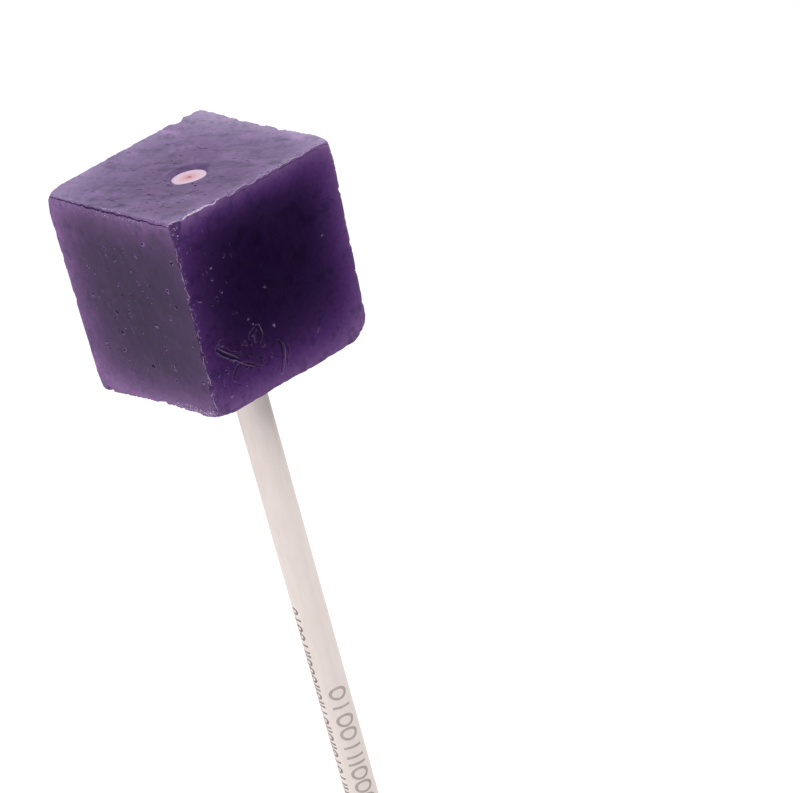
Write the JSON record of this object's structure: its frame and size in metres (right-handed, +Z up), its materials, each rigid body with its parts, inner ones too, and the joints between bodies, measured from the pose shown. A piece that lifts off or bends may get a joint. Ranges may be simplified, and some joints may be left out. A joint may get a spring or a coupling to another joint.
{
  "type": "cube lollipop",
  "caption": "Cube-shaped hard grape candy on a round white rolled-paper stick that runs through it and shows at the tip, lying on one side.",
  "frame": {"origin": "middle of the candy's resting face, on the floor under the cube", "axes": "+X along the stick, from the candy's tip face to the stick's free end; +Z up, out of the candy's upper side face as it lies; -Y out of the candy's front side face"},
  "size_m": [0.1537, 0.0254, 0.025],
  "materials": {
    "grape_candy": "hard boiled-sugar candy, deep grape purple, glossy with a worn, slightly dusty skin",
    "stick_paper": "matt white rolled paper"
  },
  "bodies": {
    "root": {"candy": "grape_candy", "stick": "stick_paper"}
  },
  "joints": []
}
